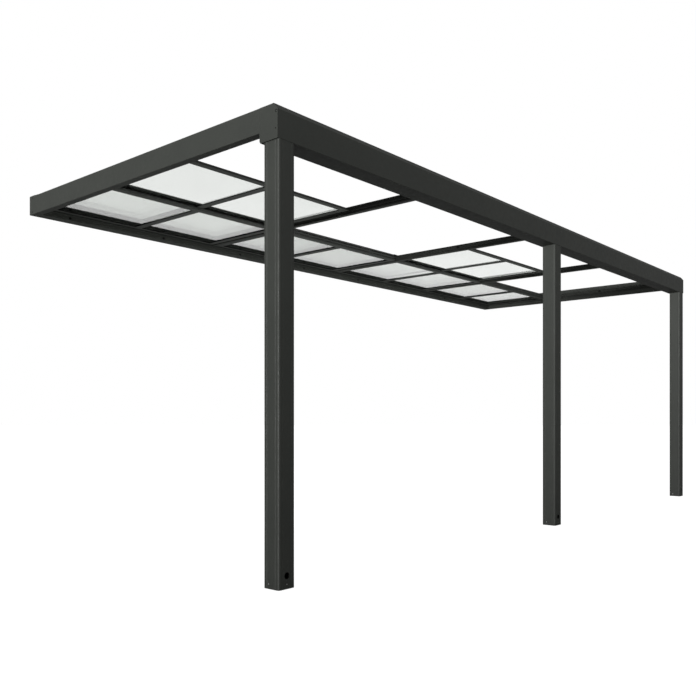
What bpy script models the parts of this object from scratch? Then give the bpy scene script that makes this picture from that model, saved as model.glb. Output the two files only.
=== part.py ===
"""Patio cover with a sliding glass roof, in powder coated aluminium.

A wall beam is screwed to the house wall. Five rafters run from it to a gutter
beam on three posts, and make four bays. The two end rafters are tall fascias,
and the three between them are slim and lie at half the height of the fascias.
Each bay has three glazed panels, one above the other: the top panel is fixed on
the rafters next to the wall, and the middle and front panels slide under it on
wheels in the rafters' side tracks.
Bays 1 and 3 are drawn with the middle panel over its own third, and every other
panel at the wall.

X runs along the front, Y towards the wall and Z up. The world origin is the
middle of the wall beam's back face, which the wall holds.
"""
import math

import bmesh
import bpy
from mathutils import Matrix, Vector

# Overall sizes, in metres
BAY_WIDTH = 1.452  # between the webs of two rafters
BAYS = 4
COVER_DEPTH = 2.5  # front of the gutter to the wall
CLEAR_HEIGHT = 2.2  # ground to the underside of the gutter

# Gutter beam, an open channel with a tall front wall
GUTTER_HEIGHT = 0.175
GUTTER_DEPTH = 0.130
GUTTER_WALL = 0.0035
GUTTER_CORNER = 0.004
FRONT_BOX = 0.042  # thickness of the hollow front wall
BEVEL_DEPTH = 0.026  # the sloped band along the top of the front, from the front
BEVEL_HEIGHT = 0.032
SILL_TURN = 0.010  # the turned-in edge on top of the back wall

# Wall beam, a hollow section with a shelf under the rafters and a flashing lip
WALL_BEAM_DEPTH = 0.080
WALL_BEAM_WALL = 0.0035
SHELF_REACH = 0.028
FLASHING_REACH = 0.030
FLASHING_THICKNESS = 0.003

# Rafters, hollow webs with two tracks in each side and a flange on top
FASCIA_HEIGHT = 0.125  # the end rafters and the wall beam
ROOF_LIFT = 0.035  # how far the tracks start above the fascia's lower edge
INNER_WEB = 0.034  # between the tips of the tracks
END_WEB = 0.050
WEB_WALL = 0.0025
RAFTER_CORNER = 0.002
TRACKS = 2
TRACK_DEPTH = 0.010
TRACK_FLANGE = 0.003
SEAT_REACH = 0.012  # the top flange, which carries the fixed panels
RAFTER_NOSE = 0.030  # how far an inner rafter reaches over the gutter

# Roof panels
PANEL_THICKNESS = 0.014
PANEL_SIDE_GAP = 0.005
PANEL_CLEARANCE = 0.0055  # between panels, one above the other
PANEL_OVERLAP = 0.045
PANEL_STOP_GAP = 0.006  # a sliding panel's back edge to the wall beam
PANEL_DRIP = 0.022  # how far the closed front panel reaches over the gutter
RAIL_WIDTH = 0.045
MUNTIN_WIDTH = 0.052
PANE_CORNER = 0.002
RIM_WIDTH = 0.007
REBATE_DEPTH = 0.008
GLASS_THICKNESS = 0.006
GLASS_EDGE_GAP = 0.001
GLASS_CORNER = 0.003
WHEEL_RADIUS = 0.005
WHEEL_REACH = 0.005  # how far a wheel stands into its track
WHEEL_ROOT = 0.002  # its hub in the panel's side
WHEEL_HEIGHT = 0.003  # its axle above the panel's underside
WHEEL_END_DISTANCE = 0.090
WHEEL_SIDES = 20

# Posts
POST_WIDTH = 0.110
POST_WALL = 0.003
POST_CORNER = 0.012
POST_END_INSET = 0.008  # end posts to the ends of the gutter
FLUTE_WIDTH = 0.004
FLUTE_DEPTH = 0.0012
FLUTE_INSET = 0.025
OUTLET_RADIUS = 0.017
OUTLET_HEIGHT = 0.066
FOOT_HOLE_RADIUS = 0.0045  # countersunk screws that hold a post on its shoe
FOOT_HOLE_HEIGHT = 0.024
FOOT_HOLE_BACK = 0.074  # front of a post to the screws in its sides
SHOE_PLATE = 0.008
SHOE_UPSTAND = 0.034
SHOE_WALL = 0.006
WELL_CORNER = 0.002

# End caps
CAP_THICKNESS = 0.004
CAP_CORNER = 0.006
CAP_HEEL = 0.010  # the rounded lower back corner of a gutter cap
CAP_RECESS = 0.002  # how deep the screws' seats are cut
CAP_SCREW_RADIUS = 0.0075  # the large screw under the bevel
CAP_SCREW_BACK = 0.010
CAP_SCREW_DROP = 0.042
CAP_PIN_RADIUS = 0.004  # the small screws
CAP_PIN_BACK = 0.014
CAP_PIN_DROP = 0.125
WALL_PIN_INSET = 0.016

JOINT_GAP = 0.0003  # between pieces that touch
ARC_STEPS = 4
SEAT_SIDES = 24

# Heights above the ground
GUTTER_TOP = CLEAR_HEIGHT + GUTTER_HEIGHT
FASCIA_BASE = GUTTER_TOP - FASCIA_HEIGHT
ROOF_BASE = FASCIA_BASE + ROOF_LIFT  # underside of the inner rafters
ORIGIN_HEIGHT = FASCIA_BASE + FASCIA_HEIGHT / 2

# Heights above the base of the inner rafters
TRACK_PITCH = PANEL_THICKNESS + PANEL_CLEARANCE
PANEL_LIFT = TRACK_FLANGE + JOINT_GAP + WHEEL_RADIUS - WHEEL_HEIGHT
SEAT_BASE = PANEL_LIFT + TRACKS * TRACK_PITCH
RAFTER_HEIGHT = SEAT_BASE + TRACK_FLANGE

# Places along Y, with the wall at 0
FRONT_FACE = -COVER_DEPTH
GUTTER_BACK = FRONT_FACE + GUTTER_DEPTH
WALL_BEAM_FACE = -WALL_BEAM_DEPTH
RAFTER_FRONT = GUTTER_BACK - RAFTER_NOSE
END_RAFTER_FRONT = GUTTER_BACK + JOINT_GAP  # butts against the gutter and its cap
RAFTER_BACK = WALL_BEAM_FACE - JOINT_GAP

# Places along X, with the middle of the cover at 0
COVER_WIDTH = BAYS * BAY_WIDTH + (BAYS - 1) * INNER_WEB + 2 * END_WEB
BEAM_END = COVER_WIDTH / 2 - CAP_THICKNESS - JOINT_GAP
PANEL_WIDTH = BAY_WIDTH - 2 * PANEL_SIDE_GAP
FIXED_BACK = WALL_BEAM_FACE - JOINT_GAP
FRONT_LIMIT = GUTTER_BACK - PANEL_DRIP
PANEL_DEPTH = (FIXED_BACK - FRONT_LIMIT + 2 * PANEL_OVERLAP) / 3
ROW_STEP = PANEL_DEPTH - PANEL_OVERLAP
SLIDING_OPEN_BACK = WALL_BEAM_FACE - PANEL_STOP_GAP

# Rows of the middle and front panels in each bay, as drawn: 0 at the wall
MIDDLE_ROWS = (1, 0, 1, 0)
FRONT_ROWS = (0, 0, 0, 0)


def clear_scene():
    """Removes what a new scene holds."""
    for item in list(bpy.data.objects):
        bpy.data.objects.remove(item, do_unlink=True)


def make_material(name, colour, roughness, metallic=0.0, alpha=1.0, transmission=0.0):
    """A Principled BSDF with one colour."""
    material = bpy.data.materials.new(name)
    material.use_nodes = True
    shader = material.node_tree.nodes["Principled BSDF"]
    shader.inputs["Base Color"].default_value = (*colour, 1.0)
    shader.inputs["Roughness"].default_value = roughness
    shader.inputs["Metallic"].default_value = metallic
    shader.inputs["Alpha"].default_value = alpha
    shader.inputs["Transmission Weight"].default_value = transmission
    material.diffuse_color = (*colour, alpha)
    return material


def outline(*corners):
    """A closed outline. A corner given as (u, v, radius) becomes an arc."""
    count = len(corners)
    points = []
    for index, corner in enumerate(corners):
        here = Vector(corner[:2])
        if len(corner) < 3 or corner[2] <= 0:
            points.append(here)
            continue
        before = (Vector(corners[index - 1][:2]) - here).normalized()
        after = (Vector(corners[(index + 1) % count][:2]) - here).normalized()
        half = before.angle(after) / 2
        reach = corner[2] / math.tan(half)
        centre = here + (before + after).normalized() * corner[2] / math.sin(half)
        first = here + before * reach - centre
        last = here + after * reach - centre
        turn = first.angle_signed(last)
        for step in range(ARC_STEPS + 1):
            angle = -turn * step / ARC_STEPS
            points.append(centre + Matrix.Rotation(angle, 2) @ first)
    return points


def rectangle(u0, u1, v0, v1, radius=0.0):
    """A rectangular outline with rounded corners."""
    return outline(
        (u0, v0, radius), (u1, v0, radius), (u1, v1, radius), (u0, v1, radius)
    )


AXES = {
    "X": Matrix(((0, 0, 1), (1, 0, 0), (0, 1, 0))),
    "Y": Matrix(((1, 0, 0), (0, 0, 1), (0, 1, 0))),
    "Z": Matrix(((1, 0, 0), (0, 1, 0), (0, 0, 1))),
}


def extrude(loops, along, start, end):
    """Extrudes a section, an outline with any holes after it, along one axis."""
    form = bmesh.new()
    for loop in loops:
        corners = [form.verts.new((point[0], point[1], start)) for point in loop]
        for index, corner in enumerate(corners):
            form.edges.new((corners[index - 1], corner))
    filled = bmesh.ops.triangle_fill(form, edges=form.edges[:], use_beauty=True)
    faces = [item for item in filled["geom"] if isinstance(item, bmesh.types.BMFace)]
    grown = bmesh.ops.extrude_face_region(form, geom=faces)
    moved = [item for item in grown["geom"] if isinstance(item, bmesh.types.BMVert)]
    bmesh.ops.translate(form, verts=moved, vec=(0, 0, end - start))
    bmesh.ops.transform(form, matrix=AXES[along].to_4x4(), verts=form.verts)
    bmesh.ops.recalc_face_normals(form, faces=form.faces)
    return form


def to_mesh(form, name, smooth=False):
    """Turns a bmesh into a mesh."""
    mesh = bpy.data.meshes.new(name)
    form.to_mesh(mesh)
    form.free()
    if smooth:
        mesh.shade_smooth()
        mesh.set_sharp_from_angle(angle=math.radians(28))
    return mesh


def place(name, mesh, material, location=(0, 0, 0)):
    """Makes a named object of a mesh, measured from the ground."""
    if not mesh.materials:
        mesh.materials.append(material)
    item = bpy.data.objects.new(name, mesh)
    bpy.context.scene.collection.objects.link(item)
    item.parent = GROUND
    item.location = location
    return item


def cylinder(radius, depth, sides, axis, centre):
    """A closed cylinder as a bmesh."""
    form = bmesh.new()
    turn = {"X": Matrix.Rotation(math.pi / 2, 4, "Y"), "Y": Matrix.Rotation(math.pi / 2, 4, "X")}
    matrix = Matrix.Translation(centre) @ turn.get(axis, Matrix.Identity(4))
    bmesh.ops.create_cone(
        form,
        cap_ends=True,
        segments=sides,
        radius1=radius,
        radius2=radius,
        depth=depth,
        matrix=matrix,
    )
    return form


def boolean(mesh, other, operation):
    """Applies one exact Boolean between two meshes and returns the result."""
    base = bpy.data.objects.new("base", mesh)
    tool = bpy.data.objects.new("tool", other)
    for item in (base, tool):
        bpy.context.scene.collection.objects.link(item)
    cut = base.modifiers.new("cut", "BOOLEAN")
    cut.operation = operation
    cut.solver = "EXACT"
    cut.object = tool
    bpy.context.view_layer.update()
    solved = base.evaluated_get(bpy.context.evaluated_depsgraph_get())
    result = bpy.data.meshes.new_from_object(solved)
    bpy.data.objects.remove(base, do_unlink=True)
    bpy.data.objects.remove(tool, do_unlink=True)
    return result


def inset(corners, distance):
    """The corners of a convex outline, moved inwards by a distance."""
    moved = []
    count = len(corners)
    for index, corner in enumerate(corners):
        here = Vector(corner[:2])
        before = (Vector(corners[index - 1][:2]) - here).normalized()
        after = (Vector(corners[(index + 1) % count][:2]) - here).normalized()
        half = before.angle(after) / 2
        shifted = here + (before + after).normalized() * distance / math.sin(half)
        moved.append((shifted.x, shifted.y))
    return moved


def gutter_section():
    """The gutter in Y and Z: hollow bevelled front, floor and lower back wall."""
    front, back = FRONT_FACE, GUTTER_BACK
    base, top, sill = CLEAR_HEIGHT, GUTTER_TOP, ROOF_BASE - JOINT_GAP
    inner_back = back - GUTTER_WALL
    outer = outline(
        (front, base, GUTTER_CORNER),
        (back, base, GUTTER_CORNER),
        (back, sill),
        (inner_back - SILL_TURN, sill),
        (inner_back - SILL_TURN, sill - GUTTER_WALL),
        (inner_back, sill - GUTTER_WALL),
        (inner_back, base + GUTTER_WALL, GUTTER_CORNER / 2),
        (front + FRONT_BOX, base + GUTTER_WALL, GUTTER_CORNER / 2),
        (front + FRONT_BOX, top),
        (front + BEVEL_DEPTH, top, GUTTER_CORNER / 2),
        (front, top - BEVEL_HEIGHT, GUTTER_CORNER / 2),
    )
    box = [
        (front, base),
        (front + FRONT_BOX, base),
        (front + FRONT_BOX, top),
        (front + BEVEL_DEPTH, top),
        (front, top - BEVEL_HEIGHT),
    ]
    return [outer, outline(*inset(box, GUTTER_WALL))]


def wall_beam_section():
    """The wall beam in Y and Z: a box with a shelf on its face and a lip above."""
    face, base, top = WALL_BEAM_FACE, FASCIA_BASE, GUTTER_TOP
    shelf_top = ROOF_BASE - JOINT_GAP
    shelf_base = shelf_top - WALL_BEAM_WALL
    lip_base = top + JOINT_GAP
    lip_top = lip_base + FLASHING_THICKNESS
    outer = outline(
        (0, base),
        (0, lip_top),
        (face - FLASHING_REACH, lip_top),
        (face - FLASHING_REACH, lip_base),
        (face, lip_base),
        (face, shelf_top),
        (face - SHELF_REACH, shelf_top),
        (face - SHELF_REACH, shelf_base),
        (face, shelf_base),
        (face, base, RAFTER_CORNER),
    )
    hollow = rectangle(
        face + WALL_BEAM_WALL,
        -WALL_BEAM_WALL,
        base + WALL_BEAM_WALL,
        top - WALL_BEAM_WALL,
    )
    return [outer, hollow]


def track_side(tip, side, base, top):
    """The corners of one side of a rafter, from its base up to a given top."""
    root = tip - side * TRACK_DEPTH
    corners = [(tip, base, RAFTER_CORNER if base < ROOF_BASE else 0)]
    for track in range(TRACKS):
        under = ROOF_BASE + track * TRACK_PITCH
        over = under + TRACK_FLANGE
        if track:
            corners += [(root, under), (tip, under)]
        corners += [(tip, over), (root, over)]
    seat = tip + side * SEAT_REACH
    under = ROOF_BASE + SEAT_BASE
    over = ROOF_BASE + RAFTER_HEIGHT
    corners += [(root, under), (seat, under), (seat, over)]
    if top > over:
        corners += [(tip, over), (tip, top, RAFTER_CORNER)]
    return corners


def rafter_section(left, right, tracks_left, tracks_right):
    """A rafter in X and Z, between the tips of its tracks or its plain faces."""
    inner = tracks_left and tracks_right
    base = ROOF_BASE if inner else FASCIA_BASE
    top = ROOF_BASE + RAFTER_HEIGHT if inner else GUTTER_TOP
    corners = []
    if tracks_right:
        corners += track_side(right, 1, base, top)
    else:
        corners += [(right, base, RAFTER_CORNER), (right, top, RAFTER_CORNER)]
    if tracks_left:
        corners += reversed(track_side(left, -1, base, top))
    else:
        corners += [(left, top, RAFTER_CORNER), (left, base, RAFTER_CORNER)]
    hollow = rectangle(
        left + WEB_WALL + (TRACK_DEPTH if tracks_left else 0),
        right - WEB_WALL - (TRACK_DEPTH if tracks_right else 0),
        base + TRACK_FLANGE,
        top - TRACK_FLANGE,
    )
    return [outline(*corners), hollow]


def post_section():
    """A post in X and Y about its middle, with two flutes on every face."""
    half = POST_WIDTH / 2
    inset = half - FLUTE_INSET
    side = [
        (-half, -half, POST_CORNER),
        (-inset - FLUTE_WIDTH / 2, -half),
        (-inset, -half + FLUTE_DEPTH),
        (-inset + FLUTE_WIDTH / 2, -half),
        (inset - FLUTE_WIDTH / 2, -half),
        (inset, -half + FLUTE_DEPTH),
        (inset + FLUTE_WIDTH / 2, -half),
    ]
    corners = []
    for quarter in range(4):
        turn = Matrix.Rotation(quarter * math.pi / 2, 2)
        for corner in side:
            turned = turn @ Vector(corner[:2])
            corners.append((turned.x, turned.y, *corner[2:]))
    bore = half - POST_WALL
    hollow = rectangle(-bore, bore, -bore, bore, POST_CORNER - POST_WALL)
    return [outline(*corners), hollow]


def panel_mesh(name, wheels):
    """A panel frame: rim, glass rebate, rails, stiles and one middle bar."""
    width, depth = PANEL_WIDTH, PANEL_DEPTH
    seat = PANEL_THICKNESS - REBATE_DEPTH
    slab = to_mesh(
        extrude([rectangle(-width / 2, width / 2, -depth, 0)], "Z", 0, PANEL_THICKNESS),
        name,
    )
    rebate = extrude(
        [rectangle(-width / 2 + RIM_WIDTH, width / 2 - RIM_WIDTH, -depth + RIM_WIDTH, -RIM_WIDTH)],
        "Z",
        seat,
        2 * PANEL_THICKNESS,
    )
    mesh = boolean(slab, to_mesh(rebate, "rebate"), "DIFFERENCE")
    for side in (-1, 1):
        inner = side * MUNTIN_WIDTH / 2
        outer = side * (width / 2 - RAIL_WIDTH)
        pane = extrude(
            [
                rectangle(
                    min(inner, outer),
                    max(inner, outer),
                    -depth + RAIL_WIDTH,
                    -RAIL_WIDTH,
                    PANE_CORNER,
                )
            ],
            "Z",
            -PANEL_THICKNESS,
            2 * PANEL_THICKNESS,
        )
        mesh = boolean(mesh, to_mesh(pane, "pane"), "DIFFERENCE")
    if wheels:
        length = WHEEL_ROOT + PANEL_SIDE_GAP + WHEEL_REACH
        reach = width / 2 - WHEEL_ROOT + length / 2
        for side in (-1, 1):
            for end in (-WHEEL_END_DISTANCE, WHEEL_END_DISTANCE - depth):
                centre = (side * reach, end, WHEEL_HEIGHT)
                wheel = cylinder(WHEEL_RADIUS, length, WHEEL_SIDES, "X", centre)
                mesh = boolean(mesh, to_mesh(wheel, "wheel"), "UNION")
    mesh.name = name
    return mesh


def glass_mesh():
    """One sheet of glass that lies on the rebate, over the middle bar."""
    inset = RIM_WIDTH + GLASS_EDGE_GAP
    seat = PANEL_THICKNESS - REBATE_DEPTH + JOINT_GAP
    sheet = rectangle(
        -PANEL_WIDTH / 2 + inset,
        PANEL_WIDTH / 2 - inset,
        -PANEL_DEPTH + inset,
        -inset,
        GLASS_CORNER,
    )
    return to_mesh(extrude([sheet], "Z", seat, seat + GLASS_THICKNESS), "roof_glass")


def build_end_caps(stem, plate, seats):
    """A plate of one outline on each end of a beam, flush with the end rafters.

    Each seat is a round recess for a screw's head: its radius, y and height.
    """
    for hand, side in (("left", -1), ("right", 1)):
        near = side * (BEAM_END + JOINT_GAP)
        far = near + side * CAP_THICKNESS
        name = f"{stem}_{hand}"
        cap = to_mesh(extrude([plate], "X", min(near, far), max(near, far)), name)
        for radius, y, height in seats:
            seat = cylinder(radius, 2 * CAP_RECESS, SEAT_SIDES, "X", (far, y, height))
            cap = boolean(cap, to_mesh(seat, "seat"), "DIFFERENCE")
        place(name, cap, FRAME_PAINT)


def build_gutter():
    """The gutter beam, its end caps and their outline with the bevel."""
    beam = to_mesh(extrude(gutter_section(), "X", -BEAM_END, BEAM_END), "gutter_beam")
    place("gutter_beam", beam, FRAME_PAINT)
    plate = outline(
        (FRONT_FACE, CLEAR_HEIGHT, CAP_CORNER),
        (GUTTER_BACK, CLEAR_HEIGHT, CAP_HEEL),
        (GUTTER_BACK, GUTTER_TOP),
        (FRONT_FACE + BEVEL_DEPTH, GUTTER_TOP, CAP_CORNER / 2),
        (FRONT_FACE, GUTTER_TOP - BEVEL_HEIGHT, CAP_CORNER / 2),
    )
    seats = (
        (CAP_SCREW_RADIUS, FRONT_FACE + CAP_SCREW_BACK, GUTTER_TOP - CAP_SCREW_DROP),
        (CAP_PIN_RADIUS, FRONT_FACE + CAP_PIN_BACK, GUTTER_TOP - CAP_PIN_DROP),
    )
    build_end_caps("gutter_cap", plate, seats)


def build_wall_beam():
    """The wall beam, its shelf cut back at the end rafters, and its end caps."""
    beam = to_mesh(extrude(wall_beam_section(), "X", -BEAM_END, BEAM_END), "wall_beam")
    for side in (-1, 1):
        near = side * (COVER_WIDTH / 2 - END_WEB - JOINT_GAP)
        far = side * COVER_WIDTH
        space = rectangle(-COVER_DEPTH, WALL_BEAM_FACE, FASCIA_BASE, GUTTER_TOP)
        cutter = extrude([space], "X", min(near, far), max(near, far))
        beam = boolean(beam, to_mesh(cutter, "shelf_end"), "DIFFERENCE")
    place("wall_beam", beam, FRAME_PAINT)
    base = FASCIA_BASE
    top = GUTTER_TOP + JOINT_GAP + FLASHING_THICKNESS
    plate = rectangle(WALL_BEAM_FACE, 0, base, top, CAP_CORNER / 2)
    middle = WALL_BEAM_FACE / 2
    seats = (
        (CAP_PIN_RADIUS, middle, base + WALL_PIN_INSET),
        (CAP_PIN_RADIUS, middle, top - WALL_PIN_INSET),
    )
    build_end_caps("wall_beam_cap", plate, seats)


def bay_left(bay):
    """The face of the web on the left of a bay."""
    return -COVER_WIDTH / 2 + END_WEB + bay * (BAY_WIDTH + INNER_WEB)


def build_rafters():
    """Two end rafters with tracks inside, and the rafters between the bays."""
    half = COVER_WIDTH / 2
    spans = [("rafter_left_end", -half, -half + END_WEB, False, True)]
    for bay in range(1, BAYS):
        right = bay_left(bay)
        spans.append((f"rafter_{bay}", right - INNER_WEB, right, True, True))
    spans.append(("rafter_right_end", half - END_WEB, half, True, False))
    for name, left, right, tracks_left, tracks_right in spans:
        section = rafter_section(left, right, tracks_left, tracks_right)
        front = RAFTER_FRONT if tracks_left and tracks_right else END_RAFTER_FRONT
        beam = to_mesh(extrude(section, "Y", front, RAFTER_BACK), name)
        place(name, beam, FRAME_PAINT)


def build_posts():
    """Three posts under the gutter, each on a shoe, with a rain outlet."""
    half = POST_WIDTH / 2
    middle = FRONT_FACE + half
    height = CLEAR_HEIGHT - JOINT_GAP
    tube = to_mesh(extrude(post_section(), "Z", 0, height), "post")
    side_hole = (0, -half + FOOT_HOLE_BACK, FOOT_HOLE_HEIGHT)
    holes = (
        (OUTLET_RADIUS, 4 * POST_WALL, "Y", (0, -half, OUTLET_HEIGHT)),
        (FOOT_HOLE_RADIUS, 2 * POST_WIDTH, "Y", (0, 0, FOOT_HOLE_HEIGHT)),
        (FOOT_HOLE_RADIUS, 2 * POST_WIDTH, "X", side_hole),
    )
    for radius, length, axis, centre in holes:
        hole = cylinder(radius, length, SEAT_SIDES, axis, centre)
        tube = boolean(tube, to_mesh(hole, "hole"), "DIFFERENCE")
    reach = half - POST_WALL - JOINT_GAP
    base = [rectangle(-reach, reach, -reach, reach, POST_CORNER - POST_WALL)]
    inner = reach - SHOE_WALL
    block = to_mesh(extrude(base, "Z", 0, SHOE_UPSTAND), "shoe")
    well = extrude([rectangle(-inner, inner, -inner, inner, WELL_CORNER)], "Z", SHOE_PLATE, 1.0)
    shoe = boolean(block, to_mesh(well, "well"), "DIFFERENCE")
    end_spot = COVER_WIDTH / 2 - POST_END_INSET - half
    spots = {"left": -end_spot, "middle": 0.0, "right": end_spot}
    for name, x in spots.items():
        place(f"post_{name}", tube, FRAME_PAINT, (x, middle, 0))
        place(f"post_shoe_{name}", shoe, SHOE_METAL, (x, middle, 0))


def track_height(track):
    """The height of a panel's underside: on a track, or on the rafter's top."""
    if track == TRACKS:
        return ROOF_BASE + RAFTER_HEIGHT + JOINT_GAP
    return ROOF_BASE + PANEL_LIFT + track * TRACK_PITCH


def row_back(track, row):
    """The back edge of a panel: fixed at the wall, or a number of rows away."""
    if track == TRACKS:
        return FIXED_BACK
    return SLIDING_OPEN_BACK if row == 0 else FIXED_BACK - row * ROW_STEP


def build_panels():
    """Three panels a bay: one fixed on the rafters, middle and front below it."""
    fixed = panel_mesh("panel_fixed", wheels=False)
    sliding = panel_mesh("panel_sliding", wheels=True)
    sheet = glass_mesh()
    for bay in range(BAYS):
        x = bay_left(bay) + BAY_WIDTH / 2
        rows = {
            "fixed": (TRACKS, 0),
            "middle": (1, MIDDLE_ROWS[bay]),
            "front": (0, FRONT_ROWS[bay]),
        }
        for kind, (track, row) in rows.items():
            spot = (x, row_back(track, row), track_height(track))
            frame = fixed if kind == "fixed" else sliding
            place(f"panel_{kind}_{bay + 1}", frame, FRAME_PAINT, spot)
            place(f"glass_{kind}_{bay + 1}", sheet, ROOF_GLASS, spot)


clear_scene()
GROUND = bpy.data.objects.new("ground_datum", None)
GROUND.location = (0, 0, -ORIGIN_HEIGHT)
bpy.context.scene.collection.objects.link(GROUND)
FRAME_PAINT = make_material("anthracite_paint", (0.030, 0.032, 0.031), 0.42, 0.2)
SHOE_METAL = make_material("shoe_aluminium", (0.40, 0.41, 0.42), 0.45, 0.9)
ROOF_GLASS = make_material("roof_glass", (0.80, 0.84, 0.83), 0.05, 0.0, 0.35, 0.8)
build_gutter()
build_wall_beam()
build_rafters()
build_posts()
build_panels()
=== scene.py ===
# %% [markdown]
# # A patio cover with a sliding glass roof
#
# The real object is a lean-to roof for a terrace, made of powder coated
# aluminium sections. A wall beam hangs on the house. Five rafters run from it
# to a gutter beam, which three posts carry. Glazed panels slide between the
# rafters on tracks.
#
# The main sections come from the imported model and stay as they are. This lesson
# gives them their finishes, and adds the small pieces that a fitter would carry
# in a box: screws, seals, brushes, plugs and strainers. Every new piece is a
# surface worked out with numpy, in metres, in the model's own place.

import math
from collections import namedtuple

import bmesh
import bpy
import numpy as np
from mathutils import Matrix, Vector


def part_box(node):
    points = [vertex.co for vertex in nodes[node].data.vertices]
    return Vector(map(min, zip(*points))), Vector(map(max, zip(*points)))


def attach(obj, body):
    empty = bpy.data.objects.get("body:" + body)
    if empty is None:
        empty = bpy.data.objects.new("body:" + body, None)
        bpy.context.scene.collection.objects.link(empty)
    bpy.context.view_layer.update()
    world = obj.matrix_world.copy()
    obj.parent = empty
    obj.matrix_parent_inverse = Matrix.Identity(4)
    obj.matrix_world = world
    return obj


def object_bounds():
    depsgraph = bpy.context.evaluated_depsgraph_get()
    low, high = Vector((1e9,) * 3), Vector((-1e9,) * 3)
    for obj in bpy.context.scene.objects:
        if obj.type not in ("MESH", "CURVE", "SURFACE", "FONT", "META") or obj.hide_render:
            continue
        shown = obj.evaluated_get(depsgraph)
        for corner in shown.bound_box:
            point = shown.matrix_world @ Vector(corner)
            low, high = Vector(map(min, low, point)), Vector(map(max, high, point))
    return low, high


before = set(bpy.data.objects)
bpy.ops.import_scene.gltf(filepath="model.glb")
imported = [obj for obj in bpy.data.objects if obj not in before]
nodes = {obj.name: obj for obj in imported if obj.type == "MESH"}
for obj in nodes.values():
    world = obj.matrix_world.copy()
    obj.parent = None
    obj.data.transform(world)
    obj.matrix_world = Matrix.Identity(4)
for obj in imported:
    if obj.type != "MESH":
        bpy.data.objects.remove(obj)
cad_box = [list(corner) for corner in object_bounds()]
print("nodes:", len(nodes), "box:", np.round(cad_box, 4).tolist())

# %% [markdown]
# ## The camera
#
# The picture is taken from a low spot left of the cover, with the lens level, so
# that the posts stay upright. An upward tilt would make them lean together. The
# picture's middle is above the horizon, and a real camera would use a rising
# front for that. Blender's name for it is a vertical shift.

# %% Place the camera
picture = 696  # width and height in pixels
sensor = 36.0  # width in millimetres
lens_pixels = 763.1  # focal length in pixels
horizon_row = 418.6  # counted from the picture's top
side_shift = -0.03  # share of the picture's width
eye = (-5.553, -5.216, -1.475)
heading = 0.8726  # radians from straight at the wall towards the right

camera_data = bpy.data.cameras.new("level_camera")
camera_data.sensor_width = sensor
camera_data.lens = lens_pixels / picture * sensor
camera_data.shift_y = (horizon_row - picture / 2) / picture
camera_data.shift_x = side_shift
camera_data.clip_end = 200.0
camera = bpy.data.objects.new("level_camera", camera_data)
camera.location = eye
camera.rotation_euler = (math.pi / 2, 0, -heading)
bpy.context.scene.collection.objects.link(camera)
bpy.context.scene.camera = camera
print("lens", round(camera_data.lens, 2), "mm, shift", round(camera_data.shift_y, 4))

# %% [markdown]
# ## Light
#
# Dark paint shows its form only by the difference between its sides. The main
# light comes from far on the left and is level. The left faces are then clearly
# lighter than the fronts, and the left end rafter shades the inside of the roof.
# A second, very wide light from above and behind draws the tops and the backs
# for the other views. Both are suns, which stay even along six metres where an
# area lamp would fade. A low panel lamp under the roof looks at the wall beam
# and at the undersides near it, which would be black without it.
#
# The last two are hidden from mirrors and from glass, where their shapes would
# show as hard patches.

# %% Lamps
scene = bpy.context.scene
scene.view_settings.view_transform = "Standard"


def soft_sun(name, direction, strength, width):
    """A sun lamp whose light travels along a direction; its width is in degrees."""
    lamp = bpy.data.lights.new(name, "SUN")
    lamp.energy = strength
    lamp.angle = math.radians(width)
    item = bpy.data.objects.new(name, lamp)
    toward = np.array(direction, float)
    flat = math.hypot(toward[0], toward[1])
    item.rotation_euler = (math.atan2(flat, -toward[2]), 0, math.atan2(-toward[0], toward[1]))
    scene.collection.objects.link(item)
    return item


def panel_lamp(name, place, tilt, width, height, power):
    """A flat lamp that shines along its own -Z and is tilted about X, in degrees."""
    lamp = bpy.data.lights.new(name, "AREA")
    lamp.shape = "RECTANGLE"
    lamp.size, lamp.size_y = width, height
    lamp.energy = power
    item = bpy.data.objects.new(name, lamp)
    item.location = place
    item.rotation_euler = (math.radians(tilt), 0, 0)
    scene.collection.objects.link(item)
    return item


def hide_shape(item):
    """Lets a lamp give light without being seen itself, also not in a mirror."""
    item.visible_camera = False
    item.visible_glossy = False
    item.visible_transmission = False


left_direction = (0.962, 0.265, 0.0)
top_direction = (-0.20, -0.62, -0.76)
below_the_roof = (-0.3, -1.7, -1.6)
soft_sun("left_light", left_direction, strength=4.1, width=4)
hide_shape(soft_sun("top_light", top_direction, strength=1.0, width=40))
hide_shape(panel_lamp("wall_beam_light", below_the_roof, tilt=127, width=5.4, height=0.8, power=48))

# %% [markdown]
# ## White for the eye, dim for the paint
#
# A white background round a dark thing has to be bright in the picture and dim
# as a lamp. The kind of ray tells the two apart, for the sky and for the floor.

# %% The sky
def white_to_the_eye(tree, low, high):
    """A value that is high for the camera, clear glass and its mirror, low for others.

    A ray from perfectly smooth glass is singular. A rough shine, as on powder
    coat, isn't, so the paint doesn't turn grey with the white that is all round.
    """
    rays = tree.nodes.new("ShaderNodeLightPath")
    first = tree.nodes.new("ShaderNodeMath")
    first.operation = "MAXIMUM"
    tree.links.new(rays.outputs["Is Camera Ray"], first.inputs[0])
    tree.links.new(rays.outputs["Is Singular Ray"], first.inputs[1])
    second = tree.nodes.new("ShaderNodeMath")
    second.operation = "MAXIMUM"
    tree.links.new(first.outputs[0], second.inputs[0])
    tree.links.new(rays.outputs["Is Transmission Ray"], second.inputs[1])
    level = tree.nodes.new("ShaderNodeMapRange")
    level.inputs["To Min"].default_value = low
    level.inputs["To Max"].default_value = high
    tree.links.new(second.outputs[0], level.inputs["Value"])
    return level.outputs["Result"]


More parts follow.
